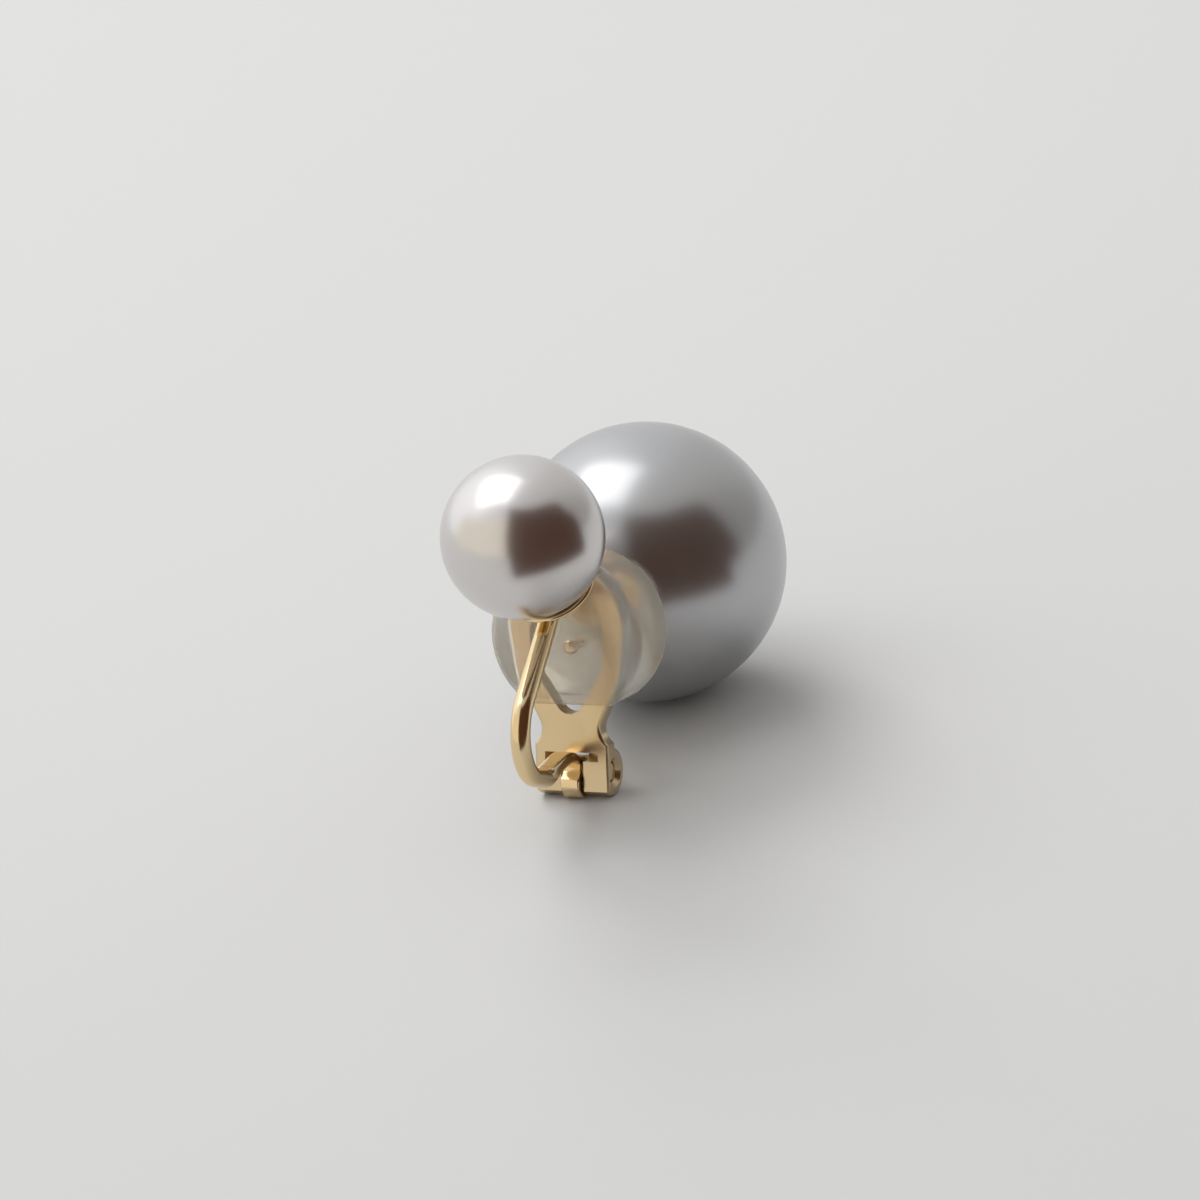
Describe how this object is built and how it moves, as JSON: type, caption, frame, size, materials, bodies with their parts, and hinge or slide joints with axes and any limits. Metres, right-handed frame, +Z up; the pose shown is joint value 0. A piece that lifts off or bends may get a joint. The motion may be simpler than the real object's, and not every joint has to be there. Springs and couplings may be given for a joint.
{
  "type": "pearl clip-on earring",
  "caption": "Clip-on earring: a white pearl on a hinged gold wire arm closes against a soft pad on a gold ring paddle, with a larger grey pearl behind it.",
  "frame": {"origin": "middle of the footprint, on the surface that the earring rests on", "axes": "+Z up, +Y from the small front pearl towards the large back pearl, +X along the hinge pin"},
  "size_m": [0.014, 0.0252, 0.0188],
  "materials": {
    "gold_sheet": "polished gold plate",
    "gold_wire": "polished gold plate",
    "gold_pin": "polished gold plate",
    "white_pearl": "pearl lustre, white with a cool grey body",
    "grey_pearl": "pearl lustre, silver grey",
    "silicone": "milky clear silicone"
  },
  "bodies": {
    "clip_back": {"paddle": "gold_sheet", "hinge_pin": "gold_pin", "back_pearl": "grey_pearl", "comfort_pad": "silicone", "pad_stud": "gold_pin"},
    "arm_front": {"arm": "gold_wire", "front_pearl": "white_pearl"}
  },
  "joints": [
    {"name": "arm_hinge", "type": "hinge", "parent": "clip_back", "child": "arm_front", "pos_m": [0, -0.00608, 0.00117], "axis": [1, 0, 0], "range_deg": [0, 70]}
  ]
}
